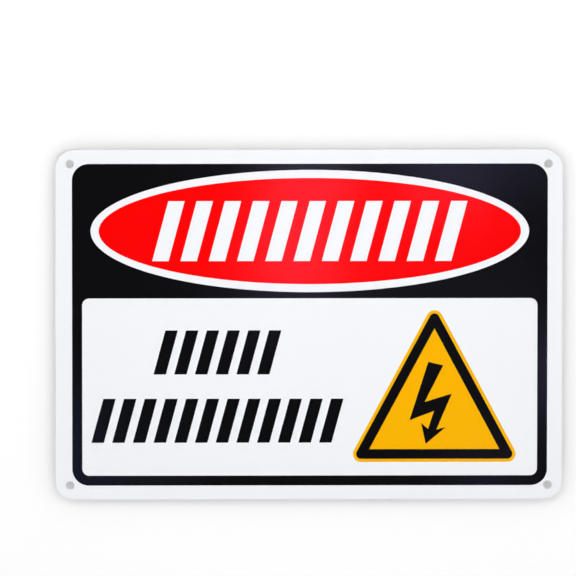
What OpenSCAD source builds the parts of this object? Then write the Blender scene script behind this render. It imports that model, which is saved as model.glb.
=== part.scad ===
// High voltage warning sign: one punched aluminium sheet with a white coat and
// four fixing holes, printed in yellow, red and black.
// It stands upright as it is fixed: +Z is up, the print faces -Y, and the
// origin is the middle of the back face, at the centre of the hole pattern.

/* [Sheet] */
// Width of the sheet
sheet_w = 254; // [200:0.1:420]
// Height of the sheet
sheet_h = 177.8; // [150:0.1:300]
// Thickness of the bare aluminium
sheet_t = 0.96; // [0.5:0.01:3]
// Radius of the sheet's corners
corner_r = 9.5; // [6:0.1:14]
// Radius of the soft edge that the punch leaves on the printed side
edge_r = 0.2; // [0.1:0.01:0.4]
// Thickness of the white coat on the front
coat_t = 0.06; // [0.03:0.01:0.09]

/* [Fixing holes] */
// Diameter of each hole
hole_d = 4.2; // [3:0.1:5.5]
// From the side edges to the middle of a hole
hole_inset_x = 7.2; // [5.5:0.1:10]
// From the top and bottom edges to the middle of a hole
hole_inset_z = 7.2; // [5.5:0.1:10]

/* [Print] */
// Thickness of one pass of ink
ink_t = 0.06; // [0.03:0.01:0.09]
// How far the print sits to the right of the sheet's middle
print_shift = 0.4; // [-1:0.1:1]

/* [Black surround] */
// Bare white margin at the left and right
side_margin = 7.9; // [6:0.1:12]
// Bare white margin at the top and bottom
end_margin = 7.1; // [6:0.1:12]
// Radius of the surround's corners
surround_r = 8.4; // [6:0.1:12]
// Width of the black border round the white panel
border_w = 5; // [3:0.1:8]
// Height of the white panel
panel_h = 90.3; // [70:0.1:100]
// Radius of the panel's corners
panel_r = 3.6; // [2:0.1:8]

/* [Header oval] */
// Black left above and below the oval
oval_gap_z = 3.1; // [1:0.1:8]
// Black left at each end of the oval
oval_gap_x = 9.3; // [4:0.1:20]
// Width of the white ring round the red
ring_w = 4.1; // [2:0.1:8]
// Red left above and below the row of white bars
header_gap_z = 11.7; // [8:0.1:16]
// Red left from the row's ends to the oval, level with the tops of the bars
header_gap_x = 8.2; // [4:0.1:30]
// Width of a white bar, measured level
header_bar_w = 8.2; // [5:0.1:14]
// Least red left between two bars
header_bar_gap = 5.6; // [3:0.1:10]
// How far the top of a bar stands to the right of its foot
header_bar_lean = 8.1; // [0:0.1:14]

/* [Panel bars] */
// Width of a black bar, measured level
panel_bar_w = 6.2; // [4:0.1:10]
// Least white left between two bars
panel_bar_gap = 4; // [2:0.1:8]
// Bars in the upper row, which stand over the middle of the lower row
upper_bars = 6; // [2:1:6]
// How far the top of a bar stands to the right of its foot
panel_bar_lean = 6; // [0:0.1:10]
// White left of the lower row
rows_gap_left = 4.6; // [3:0.1:12]
// White left between the lower row and the triangle
rows_gap_right = 4.8; // [2:0.1:10]
// White left below the lower row
rows_gap_foot = 16.8; // [8:0.1:20]
// White left above the upper row
rows_gap_top = 16.3; // [8:0.1:20]
// White left between the two rows
row_gap = 12.4; // [6:0.1:16]

/* [Warning triangle] */
// White left below the triangle
triangle_gap_foot = 6.9; // [3:0.1:12]
// White left above the triangle
triangle_gap_top = 6.2; // [3:0.1:12]
// White left on the right of the triangle
triangle_gap_right = 10.8; // [3:0.1:20]
// Slope of the triangle's sides, in degrees
triangle_slope = 62; // [58:0.5:66]
// Radius of the yellow triangle's corners
triangle_r = 4.1; // [3:0.1:6]
// Width of the yellow rim outside the black band
rim_w = 1.6; // [0.8:0.1:2.4]
// Width of the black band
band_w = 4.9; // [3:0.1:7]
// Yellow left between the band and the tip of the bolt
bolt_gap_foot = 2.7; // [1:0.1:6]
// Yellow left between the bolt's top and the band's inner corner
bolt_gap_top = 17; // [12:0.1:25]

/* [Hidden] */
$fn = 96;
BLACK = [0.07, 0.07, 0.08];
RED = [0.93, 0.02, 0.05];
YELLOW = [1, 0.7, 0.02];

// Reach of a cut past the surface that it opens
spare = 1;
// Sides drawn for a whole ellipse
OVAL_SIDES = 160;

front = sheet_t + coat_t;

surround_w = sheet_w - 2 * side_margin;
surround_h = sheet_h - 2 * end_margin;
panel_w = surround_w - 2 * border_w;
panel_right = panel_w / 2;
panel_bottom = -surround_h / 2 + border_w;
panel_top = panel_bottom + panel_h;

// Half the length and half the height of the oval, and of the red inside its ring
oval_z = (surround_h / 2 + panel_top) / 2;
oval_a = surround_w / 2 - oval_gap_x;
oval_b = (surround_h / 2 - panel_top) / 2 - oval_gap_z;
red_a = oval_a - ring_w;
red_b = oval_b - ring_w;

// The header row is as long as the red is where the bars end
header_bar_h = 2 * (red_b - header_gap_z);
header_row_l = 2 * (red_a * sqrt(1 - pow(header_bar_h / 2 / red_b, 2)) - header_gap_x);
header_bars = bar_count(header_row_l, header_bar_w, header_bar_gap, header_bar_lean);
header_step = bar_step(header_row_l, header_bar_w, header_bars, header_bar_lean);

// Centres of the triangle's three rounded corners, from the middle of its foot
triangle_h = panel_h - triangle_gap_foot - triangle_gap_top - 2 * triangle_r;
triangle_half = triangle_h / tan(triangle_slope);
triangle_corners = [
    [-triangle_half, triangle_r],
    [triangle_half, triangle_r],
    [0, triangle_r + triangle_h]
];
triangle_x = panel_right - triangle_gap_right - triangle_r - triangle_half;
triangle_z = panel_bottom + triangle_gap_foot;

// The yellow inside the band: how far its sides lie inside the corners' centres,
// and the heights of its foot and its top corner
inner_inset = rim_w + band_w - triangle_r;
inner_foot = triangle_r + inner_inset;
inner_top = triangle_r + triangle_h - inner_inset / cos(triangle_slope);

bolt_z = inner_foot + bolt_gap_foot;
bolt_h = inner_top - bolt_gap_top - bolt_z;

// The lower row reaches from the panel's left edge to the triangle, and the
// upper row has the same bars and steps
row_left = -panel_right + rows_gap_left;
row_right = triangle_x - triangle_half - triangle_r - rows_gap_right;
row_x = (row_left + row_right) / 2;
panel_bar_h = (panel_h - rows_gap_foot - rows_gap_top - row_gap) / 2;
lower_bars = bar_count(row_right - row_left, panel_bar_w, panel_bar_gap, panel_bar_lean);
panel_step = bar_step(row_right - row_left, panel_bar_w, lower_bars, panel_bar_lean);

// As many leaning bars as a length holds, and the step that spreads them over it
function bar_count(length, bar, gap, lean) = floor((length - lean + gap) / (bar + gap));
function bar_step(length, bar, count, lean) = (length - lean - bar) / (count - 1);

// Turns what is drawn flat, with its front up, to stand facing -Y
module upright() {
    rotate([90, 0, 0]) children();
}

// A flat figure as a slab between two heights
module slab(low, high) {
    translate([0, 0, low]) linear_extrude(high - low) children();
}

// One pass of ink on what lies below it, a little to the right of the middle
module printed(low) {
    translate([print_shift, 0, 0]) slab(low, low + ink_t) children();
}

module rounded_rectangle(w, h, r) {
    square([w - 2 * r, h], center = true);
    square([w, h - 2 * r], center = true);
    for (x = [-1, 1], y = [-1, 1])
        translate([x * (w / 2 - r), y * (h / 2 - r)]) circle(r);
}

module ellipse(a, b) {
    polygon([for (i = [0:OVAL_SIDES - 1])
        let (turn = 360 * i / OVAL_SIDES) [a * cos(turn), b * sin(turn)]]);
}

// A row of leaning bars with the middle of its foot at the origin
module bar_row(count, step, bar, height, lean) {
    length = (count - 1) * step + bar + lean;
    for (i = [0:count - 1])
        translate([i * step - length / 2, 0])
            polygon([[0, 0], [bar, 0], [bar + lean, height], [lean, height]]);
}

// The triangle with round corners whose sides lie a radius outside the corners' centres
module rounded_triangle(r) {
    for (corner = triangle_corners) translate(corner) circle(r);
    polygon([for (i = [0:2])
        let (from = triangle_corners[i], to = triangle_corners[(i + 1) % 3])
        let (run = (to - from) / norm(to - from), out = r * [run[1], -run[0]])
        each [from + out, to + out]]);
}

// The sharp triangle of yellow inside the band
module inner_triangle() {
    half = (inner_top - inner_foot) / tan(triangle_slope);
    polygon([[-half, inner_foot], [half, inner_foot], [0, inner_top]]);
}

// The bolt with its arrow head, 100 high, from the foot of its middle line
module bolt() {
    polygon([
        [-7.3, 100], [10.6, 95.7], [-11.6, 51.2], [20.9, 61.2], [2.5, 17.5],
        [13.5, 20.3], [-10.4, 0], [-15.7, 25.4], [-7.5, 18.2], [-0.4, 40.2],
        [-29.8, 28.9]
    ]);
}

module at_triangle() {
    translate([triangle_x, triangle_z]) children();
}

module at_holes() {
    for (x = [-1, 1], y = [-1, 1])
        translate([x * (sheet_w / 2 - hole_inset_x), y * (sheet_h / 2 - hole_inset_z), 0])
            children();
}

// Section of the metal that a soft edge loses: the wall is at x = 0 with the
// metal on its left, and the front face is at y = 0
module edge_section() {
    difference() {
        translate([-edge_r, -edge_r]) square(edge_r + spare);
        translate([-edge_r, -edge_r]) circle(edge_r);
    }
}

// Cut that softens one straight stretch of the front edge, centred on its length
module straight_edge_cut(length) {
    rotate([90, 0, 0]) translate([0, 0, -length / 2]) linear_extrude(length) edge_section();
}

// Cuts that soften the front edge all round the sheet
module outline_cut() {
    level = sheet_w - 2 * corner_r;
    upright = sheet_h - 2 * corner_r;
    for (half_turn = [0, 180]) {
        rotate(half_turn) translate([sheet_w / 2, 0, front]) straight_edge_cut(upright);
        rotate(half_turn + 90) translate([sheet_h / 2, 0, front]) straight_edge_cut(level);
    }
    for (corner = [[1, 1], [-1, 1], [-1, -1], [1, -1]])
        translate([corner[0] * level / 2, corner[1] * upright / 2, front])
            rotate(atan2(corner[1], corner[0]) - 45)
                rotate_extrude(angle = 90) translate([corner_r, 0]) edge_section();
}

// One fixing hole, with the soft edge at its mouth
module hole_cut() {
    translate([0, 0, -spare]) cylinder(d = hole_d, h = front + 2 * spare);
    translate([0, 0, front]) rotate_extrude() translate([hole_d / 2, 0]) mirror([1, 0]) edge_section();
}

// A layer of the punched blank between two heights
module blank(low, high) {
    difference() {
        slab(low, high) rounded_rectangle(sheet_w, sheet_h, corner_r);
        at_holes() hole_cut();
        outline_cut();
    }
}

module sheet() {
    color("silver") upright() blank(0, sheet_t);
}

module white_coat() {
    color("white") upright() blank(sheet_t, front);
}

module black_surround() {
    color(BLACK) upright() difference() {
        printed(front) difference() {
            rounded_rectangle(surround_w, surround_h, surround_r);
            translate([0, (panel_top + panel_bottom) / 2]) rounded_rectangle(panel_w, panel_h, panel_r);
            translate([0, oval_z]) ellipse(oval_a, oval_b);
        }
        at_holes() hole_cut();
    }
}

module red_oval() {
    color(RED) upright() printed(front) translate([0, oval_z]) difference() {
        ellipse(red_a, red_b);
        translate([0, -header_bar_h / 2])
            bar_row(header_bars, header_step, header_bar_w, header_bar_h, header_bar_lean);
    }
}

module panel_bars() {
    rows = [[lower_bars, rows_gap_foot], [upper_bars, rows_gap_foot + panel_bar_h + row_gap]];
    color(BLACK) upright() printed(front)
        for (row = rows)
            translate([row_x, panel_bottom + row[1]])
                bar_row(row[0], panel_step, panel_bar_w, panel_bar_h, panel_bar_lean);
}

module yellow_triangle() {
    color(YELLOW) upright() printed(front) at_triangle() rounded_triangle(triangle_r);
}

module triangle_band() {
    color(BLACK) upright() printed(front + ink_t) at_triangle() difference() {
        rounded_triangle(triangle_r - rim_w);
        inner_triangle();
    }
}

module bolt_symbol() {
    color(BLACK) upright() printed(front + ink_t) at_triangle()
        translate([0, bolt_z]) scale(bolt_h / 100) bolt();
}

sheet();
white_coat();
black_surround();
red_oval();
panel_bars();
yellow_triangle();
triangle_band();
bolt_symbol();
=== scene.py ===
from math import cos, radians, sin, tan
import bmesh
import bpy
import numpy as np
from mathutils import Matrix, Vector


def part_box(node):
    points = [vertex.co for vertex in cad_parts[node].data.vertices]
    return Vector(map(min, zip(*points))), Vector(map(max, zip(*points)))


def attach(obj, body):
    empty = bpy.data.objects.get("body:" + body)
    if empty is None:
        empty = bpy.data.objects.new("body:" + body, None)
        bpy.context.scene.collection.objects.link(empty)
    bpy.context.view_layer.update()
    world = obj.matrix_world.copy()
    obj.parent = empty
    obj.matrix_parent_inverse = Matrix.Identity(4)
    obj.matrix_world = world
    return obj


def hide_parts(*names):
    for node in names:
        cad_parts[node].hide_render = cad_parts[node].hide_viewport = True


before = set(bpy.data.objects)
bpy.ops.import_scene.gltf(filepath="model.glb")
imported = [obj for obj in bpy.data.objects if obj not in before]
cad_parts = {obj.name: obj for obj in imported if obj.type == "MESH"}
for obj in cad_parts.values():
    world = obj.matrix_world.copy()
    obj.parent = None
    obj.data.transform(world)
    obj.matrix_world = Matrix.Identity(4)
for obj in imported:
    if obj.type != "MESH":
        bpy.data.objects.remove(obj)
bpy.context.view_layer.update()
MM = 0.001


# The camera stands 8 m in front of the sign with a very long lens, about 10 degrees
# above it and a hair to its left, and looks a little up and left of the sign's middle.
CAMERA_DISTANCE = 8.0
CAMERA_ELEVATION = radians(9.918)
CAMERA_AZIMUTH = radians(-0.651)
CAMERA_ROLL = radians(-0.042)
PICTURE_PIXELS, SENSOR_MM = 576, 36
FACE_SCALE = 1995.4  # pixels of the picture per metre on the face
AIM_LEFT, AIM_UP = 10.526 * MM, 18.432 * MM

coat_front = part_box("white_coat")[0][1]
face_middle = Vector((0, coat_front, 0))
towards_camera = Vector((sin(CAMERA_AZIMUTH) * cos(CAMERA_ELEVATION),
                         -cos(CAMERA_AZIMUTH) * cos(CAMERA_ELEVATION),
                         sin(CAMERA_ELEVATION)))
level_right = Vector((cos(CAMERA_AZIMUTH), sin(CAMERA_AZIMUTH), 0))
level_up = towards_camera.cross(level_right)
camera_place = face_middle + CAMERA_DISTANCE * towards_camera
aim = face_middle - AIM_LEFT * level_right + AIM_UP * level_up

camera_data = bpy.data.cameras.new("camera")
camera_data.sensor_width = SENSOR_MM
camera_data.lens = SENSOR_MM * FACE_SCALE * CAMERA_DISTANCE / PICTURE_PIXELS
camera_data.clip_start, camera_data.clip_end = 0.1, 60
camera = bpy.data.objects.new("camera", camera_data)
bpy.context.collection.objects.link(camera)
back = (camera_place - aim).normalized()
right = level_right * cos(CAMERA_ROLL) - level_up * sin(CAMERA_ROLL)
right = (right - back * right.dot(back)).normalized()
up = back.cross(right)
axes = Matrix((right, up, back)).transposed().to_4x4()
camera.matrix_world = Matrix.Translation(camera_place) @ axes
bpy.context.scene.camera = camera


# The blank: one sheet of mill-finish aluminium, punched to its outline with its four
# fixing holes. The cut rolls the front edge over, shears a bright land and breaks
# away matt and a little short at the back.
SHEET_T, COAT_T = 0.96 * MM, 0.06 * MM
HALF_WIDTH, HALF_HEIGHT = 127 * MM, 88.9 * MM
CORNER_R, HOLE_R = 9.5 * MM, 2.1 * MM
HOLE_INSET = 7.2 * MM  # from the sheet's edges to the middle of a hole
ROLL_W, ROLL_DEPTH = 0.2 * MM, 0.16 * MM  # of the rolled edge in the bare metal
BREAK_START = 0.42 * MM  # where the break starts above the back
BREAK_STEP, BREAK_END = 0.012 * MM, 0.04 * MM  # how far in it is past its first bend and at its last
BREAK_BACK = 0.05 * MM  # how far it falls short of the outline at the back
BREAK_LIP = 0.05 * MM  # height of each bend
CUT_LIE = 0.5  # a face whose normal leans less than this to the front or back is on a cut
QUADRANTS = [(1, 1), (-1, 1), (-1, -1), (1, -1)]

# Each hole sits in a square of its own in the grid of the flat. Places along the
# sheet between the squares, and then how many points there are along a square's join
# with the grid, on its straight and round stretches, from hole to square, and round
# the rolled edge
ACROSS = np.linspace(-1, 1, 57) * (HALF_WIDTH - 2 * HOLE_INSET)
DOWN = np.linspace(-1, 1, 39) * (HALF_HEIGHT - 2 * HOLE_INSET)
JOIN_POINTS, STRAIGHT_POINTS, ROUND_POINTS, FAN_POINTS, ROLL_POINTS = 15, 5, 25, 6, 8
WELD = 0.0005 * MM  # points nearer to each other than this become one


def corner_border(inset):
    """Border of the square round one fixing hole, as points from the hole's middle.

    It runs along the top of the sheet, round its corner and down its side, which is
    the outline, and back along two straight joins with the rest of the sheet. Each
    point of the outline goes back from the sheet's own along its normal by the inset.
    Gives the border, the outline, its normals and the places along a join.
    """
    arc = CORNER_R - HOLE_INSET
    turn = np.radians(np.linspace(90, 0, ROUND_POINTS))[1:-1]
    way = np.column_stack([np.cos(turn), np.sin(turn)])
    top = np.column_stack([np.linspace(-HOLE_INSET, -arc, STRAIGHT_POINTS),
                           np.full(STRAIGHT_POINTS, HOLE_INSET)])
    outline = np.vstack([top, -arc + CORNER_R * way, top[::-1, ::-1]])
    normals = np.vstack([np.tile((0, 1), (STRAIGHT_POINTS, 1)), way,
                         np.tile((1, 0), (STRAIGHT_POINTS, 1))])
    outline = outline - inset * normals
    join = np.linspace(-HOLE_INSET, HOLE_INSET - inset, JOIN_POINTS)
    foot = np.column_stack([join[::-1], np.full(JOIN_POINTS, -HOLE_INSET)])[1:]
    side = np.column_stack([np.full(JOIN_POINTS, -HOLE_INSET), join])[1:]
    return np.vstack([outline, foot, side]), outline, normals, join


square = corner_border(0)[0]
hole_rays = square / np.linalg.norm(square, axis=1, keepdims=True)
hole_middle = np.array([HALF_WIDTH - HOLE_INSET, HALF_HEIGHT - HOLE_INSET])


def at_level(flat, level):
    """A grid of (x, z) points as (x, y, z), with the level as y."""
    return np.stack([flat[..., 0], np.broadcast_to(level, flat.shape[:2]), flat[..., 1]], axis=-1)


def carried(path, normals, section):
    """A section, as (outward, level) points, carried along a path of (x, z) points.

    P(u, v) = path(u) + outward(v) normal(u), at level(v).
    """
    return at_level(path + section[:, :1, None] * normals, section[:, 1:])


def flat_side(inset, hole_r, level):
    """The flat of the sheet at one level, as grids of points.

    Round each hole a fan of straight lines from the hole's edge to the square's
    border, P(u, v) = hole(u) + v (border(u) - hole(u)), and between the squares
    plain grids whose rows and columns meet the fans' points.
    """
    border, _, _, join = corner_border(inset)
    v = np.linspace(0, 1, FAN_POINTS)[:, None, None]
    fan = hole_r * hole_rays + v * (border - hole_r * hole_rays)
    columns = HALF_WIDTH - HOLE_INSET + join
    rows = HALF_HEIGHT - HOLE_INSET + join
    grids = [(hole_middle + fan) * sign for sign in QUADRANTS]
    grids.append(np.stack(np.meshgrid(ACROSS, DOWN), axis=-1))
    for side in (1, -1):
        grids.append(np.stack(np.meshgrid(ACROSS, side * rows), axis=-1))
        grids.append(np.stack(np.meshgrid(side * columns, DOWN), axis=-1))
    return [at_level(grid, level) for grid in grids]


def cut_sides(section):
    """The cut's section carried round the sheet's outline and round each hole, as grids."""
    _, outline, normals, _ = corner_border(0)
    hole = hole_middle + HOLE_R * hole_rays
    grids = []
    for sign in QUADRANTS:
        grids.append(carried((hole_middle + outline) * sign, normals * sign, section))
        grids.append(carried(hole * sign, -hole_rays * sign, section))
    for side in (1, -1):
        edge_across = np.column_stack([ACROSS, np.full_like(ACROSS, side * HALF_HEIGHT)])
        edge_down = np.column_stack([np.full_like(DOWN, side * HALF_WIDTH), DOWN])
        grids.append(carried(edge_across, np.array((0, side)), section))
        grids.append(carried(edge_down, np.array((side, 0)), section))
    return grids


def rolled_edge(depth, foot):
    """Section of a rolled edge: a quarter of an ellipse from the face down to its foot's level.

    (w sin t - w, foot - depth cos t), for t from 0 to 90 degrees.
    """
    turn = np.radians(np.linspace(0, 90, ROLL_POINTS))
    return np.column_stack([ROLL_W * np.sin(turn) - ROLL_W, foot - depth * np.cos(turn)])


def welded(name, grids, finish, openings=()):
    """One closed mesh from grids of points, welded where they meet, with its normals outwards.

    Flat openings that are left at the given levels are filled.
    """
    points, faces, start = [], [], 0
    for grid in grids:
        rows, columns = grid.shape[:2]
        number = start + np.arange(rows * columns).reshape(rows, columns)
        corners = [number[:-1, :-1], number[:-1, 1:], number[1:, 1:], number[1:, :-1]]
        faces.append(np.stack(corners, axis=-1).reshape(-1, 4))
        points.append(grid.reshape(-1, 3))
        start += rows * columns
    mesh = bpy.data.meshes.new(name)
    mesh.from_pydata(np.vstack(points).tolist(), [], np.vstack(faces).tolist())
    work = bmesh.new()
    work.from_mesh(mesh)
    bmesh.ops.remove_doubles(work, verts=work.verts, dist=WELD)
    for level in openings:
        rim = [edge for edge in work.edges
               if edge.is_boundary and all(abs(end.co.y - level) < WELD for end in edge.verts)]
        bmesh.ops.triangle_fill(work, edges=rim, use_beauty=True)
    bmesh.ops.recalc_face_normals(work, faces=work.faces)
    work.to_mesh(mesh)
    work.free()
    mesh.materials.append(finish)
    piece = bpy.data.objects.new(name, mesh)
    bpy.context.collection.objects.link(piece)
    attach(piece, "root")
    return piece


def mark_cuts(mesh):
    """Face attribute "cut", by each face's lie and level.

    It is 0 on the flats, 1 on the sheared land and 2 on the break.
    """
    lie = np.empty(3 * len(mesh.polygons))
    centre = np.empty_like(lie)
    mesh.polygons.foreach_get("normal", lie)
    mesh.polygons.foreach_get("center", centre)
    cut = np.where(centre[1::3] > -BREAK_START, 2.0, 1.0) * (np.abs(lie[1::3]) < CUT_LIE)
    mesh.attributes.new("cut", "FLOAT", "FACE").data.foreach_set("value", cut)


def plug(node, inputs):
    """Sets inputs of a node, each to a constant or to the socket that feeds it."""
    for name, value in inputs.items():
        if isinstance(value, bpy.types.NodeSocket):
            node.id_data.links.new(value, node.inputs[name])
        else:
            node.inputs[name].default_value = value


def add(tree, kind, inputs=None, **settings):
    """A new node of a kind in a tree, with its settings and inputs."""
    node = tree.nodes.new("ShaderNode" + kind)
    for name, value in settings.items():
        setattr(node, name, value)
    plug(node, inputs or {})
    return node


def start_finish(name):
    """A new material: gives it, its tree, its shader and the object's coordinates."""
    finish = bpy.data.materials.new(name)
    finish.use_nodes = True
    tree = finish.node_tree
    return finish, tree, tree.nodes["Principled BSDF"], add(tree, "TexCoord").outputs["Object"]


def clouds(tree, place, size, stretch=(1, 1, 1), detail=2.0):
    """Soft noise whose blotches are about size metres across, drawn out by stretch."""
    mapping = add(tree, "Mapping", {"Vector": place, "Scale": [1 / (size * s) for s in stretch]})
    noise = add(tree, "TexNoise", {"Vector": mapping.outputs[0], "Scale": 1, "Detail": detail})
    return noise.outputs["Fac"]


def spread(tree, value, low, high):
    """Carries noise, which lies mostly between 0.3 and 0.7, to the range low to high."""
    node = add(tree, "MapRange", {"Value": value, "From Min": 0.3, "From Max": 0.7,
                                  "To Min": low, "To Max": high})
    return node.outputs["Result"]


def blend(tree, amount, first, second, colour=True):
    """The colour, or the value, between two others by an amount; each is a constant or a socket."""
    if colour:
        first, second = [(*end, 1) if isinstance(end, tuple) else end for end in (first, second)]
        return add(tree, "Mix", {0: amount, 6: first, 7: second}, data_type="RGBA").outputs[2]
    return add(tree, "Mix", {0: amount, 2: first, 3: second}, data_type="FLOAT").outputs[0]


def relief(tree, height, depth):
    """Bump of the given depth, in metres, for heights from 0 to 1."""
    return add(tree, "Bump", {"Height": height, "Distance": depth, "Strength": 1}).outputs["Normal"]


def bare_aluminium():
    """Mill finish with rolling lines along the sheet; a bright land and a matt break on the cuts."""
    finish, tree, shader, place = start_finish("bare_aluminium")
    rolling = spread(tree, clouds(tree, place, 0.5 * MM, stretch=(120, 1, 1), detail=4), 0, 1)
    broad = spread(tree, clouds(tree, place, 30 * MM, stretch=(4, 1, 1)), 0.3, 0.42)
    drawn = spread(tree, clouds(tree, place, 0.07 * MM, stretch=(1, 14, 1)), 0, 1)
    grain = spread(tree, clouds(tree, place, 0.09 * MM, detail=3), 0, 1)
    cut = add(tree, "Attribute", attribute_name="cut").outputs["Fac"]
    broken = add(tree, "Math", {0: cut, 1: 1}, operation="SUBTRACT", use_clamp=True).outputs[0]

    def by_zone(flat, land, matt, colour=True):
        return blend(tree, broken, blend(tree, cut, flat, land, colour), matt, colour)

    flat_colour = blend(tree, rolling, (0.62, 0.63, 0.645), (0.80, 0.81, 0.82))
    land_colour = blend(tree, drawn, (0.76, 0.77, 0.78), (0.88, 0.885, 0.89))
    matt_colour = blend(tree, grain, (0.44, 0.445, 0.45), (0.68, 0.685, 0.69))
    land_roughness = blend(tree, drawn, 0.2, 0.34, colour=False)
    height = by_zone(rolling, drawn, grain, colour=False)
    plug(shader, {"Metallic": 1,
                  "Base Color": by_zone(flat_colour, land_colour, matt_colour),
                  "Roughness": by_zone(broad, land_roughness, 0.58, colour=False),
                  "Normal": relief(tree, height, 0.006 * MM)})
    return finish


rolled_metal = rolled_edge(ROLL_DEPTH, ROLL_DEPTH - SHEET_T)
cut_metal = np.array([(0, -BREAK_START), (-BREAK_STEP, BREAK_LIP - BREAK_START),
                      (-BREAK_END, -BREAK_LIP), (-BREAK_BACK, 0)])
sheet = welded("punched_sheet",
               flat_side(ROLL_W, HOLE_R + ROLL_W, -SHEET_T)
               + flat_side(BREAK_BACK, HOLE_R + BREAK_BACK, 0)
               + cut_sides(np.vstack([rolled_metal, cut_metal])),
               bare_aluminium())
mark_cuts(sheet.data)
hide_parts("sheet")


# The white coat: baked polyester paint on the printed side, semi-gloss, with the
# faint orange peel of a roller coat. It follows the rolled edge and thins out to
# nothing where the shear starts.
WHITE_FACE = -SHEET_T - COAT_T
COAT_ROLL_DEPTH = 0.2 * MM


def coil_coat():
    """White paint whose tint and roughness vary a little over the sheet, with a fine peel."""
    finish, tree, shader, place = start_finish("white_coat")
    peel = clouds(tree, place, 1.3 * MM, detail=1)
    broad = clouds(tree, place, 60 * MM)
    tint = spread(tree, broad, 0, 1)
    plug(shader, {"Base Color": blend(tree, tint, (0.925, 0.94, 0.97), (0.935, 0.95, 0.98)),
                  "Roughness": spread(tree, broad, 0.285, 0.295),
                  "Normal": relief(tree, peel, 0.0006 * MM)})
    return finish


rolled_coat = rolled_edge(COAT_ROLL_DEPTH, COAT_ROLL_DEPTH + WHITE_FACE)
coat = welded("painted_face",
              flat_side(ROLL_W, HOLE_R + ROLL_W, WHITE_FACE)
              + flat_side(ROLL_W, HOLE_R + ROLL_W, -SHEET_T)
              + cut_sides(np.vstack([rolled_coat, rolled_metal[::-1]])),
              coil_coat())
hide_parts("white_coat")


# The black surround: the first pass of semi-gloss screen ink, a film 0.06 mm thick
# whose edge draws in softly. It leaves the white panel and the header's oval open.
# All the print lies a hair to the right of the sheet's middle.
INK_T = 0.06 * MM
INK_EDGE = 0.02 * MM  # how far a film's edge draws in
INK_ROUGHNESS, INK_VARIES = 0.19, 0.02
PRINT_SHIFT = 0.4 * MM
SURROUND_W, SURROUND_H, SURROUND_R = 238.2 * MM, 163.6 * MM, 8.4 * MM
BORDER_W = 5 * MM  # of the surround below the panel
PANEL_W, PANEL_H, PANEL_R = 228.2 * MM, 90.3 * MM, 3.6 * MM
PANEL_FOOT = BORDER_W - SURROUND_H / 2
PANEL_TOP = PANEL_FOOT + PANEL_H
OVAL_A, OVAL_B = 109.8 * MM, 31.05 * MM  # half the length and height of the open oval
OVAL_Z = (SURROUND_H / 2 + PANEL_TOP) / 2
EDGE_POINTS, OVAL_POINTS = 4, 360


def ink(name, colour, thin_colour, gloss):
    """Screen ink, a little paler and rougher where it lies thinner, over a fine grain."""
    finish, tree, shader, place = start_finish(name)
    mottle = clouds(tree, place, 9 * MM, detail=3)
    grain = clouds(tree, place, 0.45 * MM, detail=1)
    thin = spread(tree, mottle, 0, 1)
    roughness = spread(tree, mottle, INK_ROUGHNESS - INK_VARIES, INK_ROUGHNESS + INK_VARIES)
    plug(shader, {"Base Color": blend(tree, thin, colour, thin_colour),
                  "Roughness": roughness,
                  "Normal": relief(tree, grain, 0.001 * MM),
                  "Specular IOR Level": gloss})
    return finish


def film(name, outlines, back, finish, node):
    """One pass of ink whose back lies at a level, from closed outlines of (x, z) points.

    Outlines run anticlockwise and holes clockwise. The film's edge is a section
    carried round each outline: straight up from the back, then a quarter turn
    inwards. The flat faces fill what its first and its last rows leave open.
    """
    turn = np.radians(np.linspace(0, 90, EDGE_POINTS))
    inward = np.append(0, INK_EDGE * (1 - np.cos(turn)))
    rise = np.append(0, INK_T - INK_EDGE * (1 - np.sin(turn)))
    section = np.column_stack([-inward, back - rise])
    grids = []
    for outline in outlines:
        run = np.diff(np.vstack([outline[-1:], outline, outline[:1]]), axis=0)
        side = np.column_stack([run[:, 1], -run[:, 0]]) / np.linalg.norm(run, axis=1, keepdims=True)
        corner = side[1:] + side[:-1]
        normals = 2 * corner / np.sum(corner ** 2, axis=1, keepdims=True)
        edge = carried(outline + (PRINT_SHIFT, 0), normals, section)
        grids.append(np.concatenate([edge, edge[:, :1]], axis=1))
    piece = welded(name, grids, finish, openings=(back, back - INK_T))
    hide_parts(node)


def arcs(centres, radius, turns):
    """A closed outline of round corners, with straight runs between them.

    Each corner is centre + radius (cos t, sin t), with t over its turn in degrees.
    """
    start, end = np.radians(turns).T[:, :, None]
    turn = start + (end - start) * np.linspace(0, 1, ROUND_POINTS)
    way = np.stack([np.cos(turn), np.sin(turn)], axis=-1)
    return (np.array(centres)[:, None] + radius * way).reshape(-1, 2)


def round_box(width, height, radius, middle=0.0):
    """A rectangle with round corners, as arcs, whose middle is at the given height."""
    centres = np.array(QUADRANTS) * (width / 2 - radius, height / 2 - radius) + (0, middle)
    return arcs(centres, radius, [(0, 90), (90, 180), (180, 270), (270, 360)])


def oval(half_width, half_height, middle):
    """An ellipse, (a cos t, middle + b sin t)."""
    turn = np.linspace(0, 2 * np.pi, OVAL_POINTS, endpoint=False)
    return np.column_stack([half_width * np.cos(turn), middle + half_height * np.sin(turn)])


black = ink("black_ink", (0.0024, 0.0023, 0.0031), (0.0028, 0.0028, 0.0038), gloss=0.5)
panel = round_box(PANEL_W, PANEL_H, PANEL_R, (PANEL_TOP + PANEL_FOOT) / 2)
film("surround_print",
     [round_box(SURROUND_W, SURROUND_H, SURROUND_R), panel[::-1], oval(OVAL_A, OVAL_B, OVAL_Z)[::-1]],
     WHITE_FACE, black, "black_surround")


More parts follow.
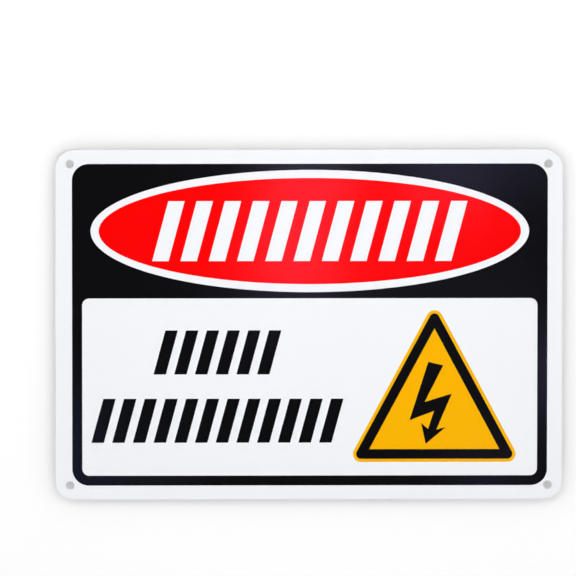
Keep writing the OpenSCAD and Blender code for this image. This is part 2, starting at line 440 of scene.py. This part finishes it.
# The red oval: a pass of red screen ink in the header, inside a ring of bare white.
# A row of leaning bars is left open in it, where the white coat shows.
RING_W = 4.1 * MM
HEADER_BARS, HEADER_STEP = 11, 14.16 * MM
HEADER_BAR_W, HEADER_BAR_H, HEADER_LEAN = 8.2 * MM, 30.5 * MM, 8.1 * MM


def bar_row(count, step, size, lean, middle, foot):
    """Outlines of a row of leaning bars: one parallelogram, k steps to the right for bar k."""
    width, height = size
    bar = np.array([(0, 0), (width, 0), (width + lean, height), (lean, height)])
    left = middle - ((count - 1) * step + width + lean) / 2
    return bar + np.column_stack([left + step * np.arange(count), np.full(count, foot)])[:, None]


red = ink("red_ink", (0.99, 0.0003, 0.0003), (0.99, 0.0008, 0.0008), gloss=0.41)
open_bars = bar_row(HEADER_BARS, HEADER_STEP, (HEADER_BAR_W, HEADER_BAR_H), HEADER_LEAN,
                    middle=0, foot=OVAL_Z - HEADER_BAR_H / 2)
film("oval_print", [oval(OVAL_A - RING_W, OVAL_B - RING_W, OVAL_Z), *open_bars[:, ::-1]],
     WHITE_FACE, red, "red_oval")


# The panel's bars: two rows of leaning bars in the black ink of the surround, on the
# white panel and left of the triangle. The rows share one middle and one spacing.
PANEL_BAR_SIZE, PANEL_LEAN = (6.2 * MM, 22.4 * MM), 6 * MM
PANEL_STEP, ROWS_MIDDLE = 10.384 * MM, -46.288 * MM
LOWER_BARS, LOWER_FOOT = 12, 16.8 * MM  # the foot's height above the panel's
UPPER_BARS, UPPER_FOOT = 6, 51.6 * MM

bars = [bar_row(count, PANEL_STEP, PANEL_BAR_SIZE, PANEL_LEAN, ROWS_MIDDLE, PANEL_FOOT + foot)
        for count, foot in ((LOWER_BARS, LOWER_FOOT), (UPPER_BARS, UPPER_FOOT))]
film("bars_print", np.vstack(bars), WHITE_FACE, black, "panel_bars")


# The warning triangle: a pass of yellow screen ink with round corners, and a second
# pass of black on it, for the band inside its rim and for the lightning bolt.
TRIANGLE_X, TRIANGLE_Z = 62.512 * MM, -69.9 * MM  # the middle of its foot
TRIANGLE_SLOPE = 62.0  # degrees, of its sides
TRIANGLE_R = 4.1 * MM
TRIANGLE_HALF, TRIANGLE_H = 36.688 * MM, 69 * MM  # between the middles of its round corners
RIM_W, BAND_W = 1.6 * MM, 4.9 * MM
BOLT_FOOT, BOLT_H = 9.2 * MM, 41.788 * MM
BOLT = [(-7.3, 100), (10.6, 95.7), (-11.6, 51.2), (20.9, 61.2), (2.5, 17.5), (13.5, 20.3),
        (-10.4, 0), (-15.7, 25.4), (-7.5, 18.2), (-0.4, 40.2), (-29.8, 28.9)]  # percent of its height


def round_triangle(radius):
    """The triangle as arcs, whose sides lie a radius outside its round corners' middles."""
    side = 90 - TRIANGLE_SLOPE
    centres = [(TRIANGLE_HALF, TRIANGLE_R), (0, TRIANGLE_R + TRIANGLE_H), (-TRIANGLE_HALF, TRIANGLE_R)]
    return arcs(centres, radius, [(-90, side), (side, 180 - side), (180 - side, 270)])


at_triangle = np.array([TRIANGLE_X, TRIANGLE_Z])
inner_foot = RIM_W + BAND_W
inner_top = TRIANGLE_R + TRIANGLE_H - (inner_foot - TRIANGLE_R) / cos(radians(TRIANGLE_SLOPE))
inner_half = (inner_top - inner_foot) / tan(radians(TRIANGLE_SLOPE))
inner_yellow = np.array([(-inner_half, inner_foot), (inner_half, inner_foot), (0, inner_top)])
bolt = np.array(BOLT)[::-1] * BOLT_H / 100 + (0, BOLT_FOOT)

yellow = ink("yellow_ink", (1.0, 0.475, 0.0001), (1.0, 0.485, 0.0003), gloss=0.41)
film("triangle_print", [at_triangle + round_triangle(TRIANGLE_R)],
     WHITE_FACE, yellow, "yellow_triangle")
film("band_print", [at_triangle + round_triangle(TRIANGLE_R - RIM_W), (at_triangle + inner_yellow)[::-1]],
     WHITE_FACE - INK_T, black, "triangle_band")
film("bolt_print", [at_triangle + bolt], WHITE_FACE - INK_T, black, "bolt_symbol")


# The wall 5 mm behind the sign's back face, and the floor below it. The camera alone
# sees them, so they neither shade nor tint the sign. From behind, the wall is clear.
WALL_GAP = 5 * MM
FLOOR_LEVEL, WALL_TOP = -134 * MM, 450 * MM
LEFT, RIGHT, FRONT, BACK = -0.6, 0.6, -0.6, 0.6
SETTING_COLOUR = (0.74, 0.74, 0.74, 1)
WALL_GLOW, FLOOR_GLOW = 0.295, 0.5  # their own light, for the camera alone
WHITE = (1, 1, 1, 1)


def setting_finish(name, glow):
    """Pale paint with a little light of its own for the camera, and clear from its back."""
    finish = bpy.data.materials.new(name)
    finish.use_nodes = True
    tree = finish.node_tree
    tree.nodes.clear()
    to_camera = add(tree, "LightPath").outputs["Is Camera Ray"]
    strength = add(tree, "Math", {0: to_camera, 1: glow}, operation="MULTIPLY").outputs[0]
    paint = add(tree, "BsdfDiffuse", {"Color": SETTING_COLOUR}).outputs[0]
    own_light = add(tree, "Emission", {"Color": WHITE, "Strength": strength}).outputs[0]
    front = add(tree, "AddShader", {0: paint, 1: own_light}).outputs[0]
    clear = add(tree, "BsdfTransparent").outputs[0]
    from_back = add(tree, "NewGeometry").outputs["Backfacing"]
    surface = add(tree, "MixShader", {0: from_back, 1: front, 2: clear}).outputs[0]
    add(tree, "OutputMaterial", {"Surface": surface})
    return finish


def setting_plane(name, corners, glow):
    """One rectangle of the setting, which only the camera sees."""
    mesh = bpy.data.meshes.new(name)
    mesh.from_pydata(corners, [], [(0, 1, 2, 3)])
    mesh.materials.append(setting_finish(name, glow))
    plane = bpy.data.objects.new(name, mesh)
    bpy.context.collection.objects.link(plane)
    plane.visible_diffuse = False
    plane.visible_glossy = False
    plane.visible_transmission = False
    plane.visible_shadow = False


setting_plane("wall", [(LEFT, WALL_GAP, FLOOR_LEVEL), (RIGHT, WALL_GAP, FLOOR_LEVEL),
                       (RIGHT, WALL_GAP, WALL_TOP), (LEFT, WALL_GAP, WALL_TOP)], WALL_GLOW)
setting_plane("floor", [(LEFT, FRONT, FLOOR_LEVEL), (RIGHT, FRONT, FLOOR_LEVEL),
                        (RIGHT, BACK, FLOOR_LEVEL), (LEFT, BACK, FLOOR_LEVEL)], FLOOR_GLOW)


# The light: a white tent two metres wide that lights everything evenly, a soft fill
# a little above the line from the sign to the camera, and a dim studio round it,
# whose windows and soft boxes the print and the metal mirror.
TENT = 1.0  # half the tent's width, height and depth
TENT_LEVEL, FILL_LEVEL, BOX_LEVEL = 0.77, 2.3, 1.2  # 1 is white paper in full light
FILL_PLACE, FILL_SIZE = (0, -0.35, 0.13), (0.4, 0.12)
STUDIO_FOOT, STUDIO_HEAD = -0.6, 0.5  # rise of the line of sight to its dimmest and its brightest
STUDIO_SEAM = 0.05  # half the width of the change from its front to its back


def studio_world(front, low, high):
    """White for the camera and through glass; for light dim in front, and from low to high behind."""
    world = bpy.data.worlds.new("studio")
    bpy.context.scene.world = world
    world.use_nodes = True
    tree = world.node_tree
    tree.nodes.clear()
    rays = add(tree, "LightPath").outputs
    way = add(tree, "SeparateXYZ", {0: add(tree, "TexCoord").outputs["Generated"]}).outputs
    rise = add(tree, "MapRange", {"Value": way["Z"], "From Min": STUDIO_FOOT, "From Max": STUDIO_HEAD,
                                  "To Min": low, "To Max": high}, interpolation_type="SMOOTHSTEP")
    behind = add(tree, "MapRange", {"Value": way["Y"], "From Min": -STUDIO_SEAM, "From Max": STUDIO_SEAM})
    # The wall keeps the light from behind off what the wall itself sees
    direct = add(tree, "Math", {0: rays["Diffuse Depth"], 1: 0.5}, operation="LESS_THAN")
    clear = add(tree, "Math", {0: behind.outputs[0], 1: direct.outputs[0]}, operation="MULTIPLY")
    light = blend(tree, clear.outputs[0], front, rise.outputs[0], colour=False)
    seen = add(tree, "Math", {0: rays["Is Camera Ray"], 1: rays["Is Transmission Ray"]},
               operation="MAXIMUM")
    strength = blend(tree, seen.outputs[0], light, 1, colour=False)
    background = add(tree, "Background", {"Color": WHITE, "Strength": strength})
    add(tree, "OutputWorld", {"Surface": background.outputs[0]})


def soft_light(name, place, target, size, level, colour=(1, 1, 1), gloss=False):
    """A rectangle that shines level times as bright as white paper in full light.

    It lights the sign and isn't mirrored, or with gloss it is mirrored and lights nothing.
    """
    data = bpy.data.lights.new(name, "AREA")
    data.shape = "RECTANGLE"
    data.size, data.size_y = size
    data.energy = level * np.pi * size[0] * size[1]
    data.color = colour
    data.cycles.use_multiple_importance_sampling = gloss
    lamp = bpy.data.objects.new(name, data)
    bpy.context.collection.objects.link(lamp)
    lamp.visible_camera = False
    lamp.visible_glossy = gloss
    lamp.visible_diffuse = not gloss
    place = Vector(place)
    lamp.rotation_euler = (Vector(target) - place).to_track_quat("-Z", "Y").to_euler()
    lamp.location = place
    return lamp


studio_world(front=0.05, low=0.25, high=0.8)
for name, place in {"tent_front": (0, -TENT, 0), "tent_left": (-TENT, 0, 0), "tent_right": (TENT, 0, 0),
                    "tent_top": (0, 0, TENT), "tent_foot": (0, 0, -TENT)}.items():
    soft_light(name, place, (0, 0, 0), (2 * TENT, 2 * TENT), TENT_LEVEL)
soft_light("fill", FILL_PLACE, (0, 0, 0), FILL_SIZE, FILL_LEVEL)

# Each window, in mm: the middle of the place on the face where it shows in the
# picture, its width and height, and its colour times its level
WINDOW_DISTANCE = 0.25  # metres, in front of the face
WINDOWS = [(0, 103, 42, 90, (0.9, 0.77, 1.33)),
           (-6, 36, 38, 46, (0.88, 0.77, 1.35)),
           (68, 98, 42, 90, (0.54, 0.48, 0.93)),
           (109, 102, 40, 66, (0.25, 0.25, 0.48)),
           (122, -25, 24, 44, (0.6, 0.53, 1.08)),
           (-124, -62, 30, 60, (0.14, 0.22, 0.5)),
           (-86, -80, 50, 26, (0.17, 0.19, 0.32)),
           (88, -80, 38, 26, (0.23, 0.22, 0.46)),
           (32, 18, 165, 30, (0.09, 0.095, 0.165))]
for number, (x, z, width, height, colour) in enumerate(WINDOWS):
    shown = Vector((x * MM, 0, z * MM))
    mirrored = shown - camera_place
    mirrored.y = -mirrored.y
    place = shown + mirrored * (WINDOW_DISTANCE / -mirrored.y)
    soft_light(f"window_{number}", place, place + Vector((0, 1, 0)), (width * MM, height * MM), 1,
               colour, gloss=True)

# Three soft boxes behind, which only the metal of the back mirrors
BOX_X, BOX_Y, BOX_Z = (-0.6, 0.05, 0.6), 0.6, -0.15
BOX_SIZE = (0.2, 0.8)
for number, x in enumerate(BOX_X):
    box = soft_light(f"soft_box_{number}", (x, BOX_Y, BOX_Z), (x / 2, 0, BOX_Z), BOX_SIZE, BOX_LEVEL,
                     gloss=True)
    box.data.cycles.use_multiple_importance_sampling = False
    box.data.cycles.max_bounces = 0
bpy.context.scene.view_settings.view_transform = "Standard"
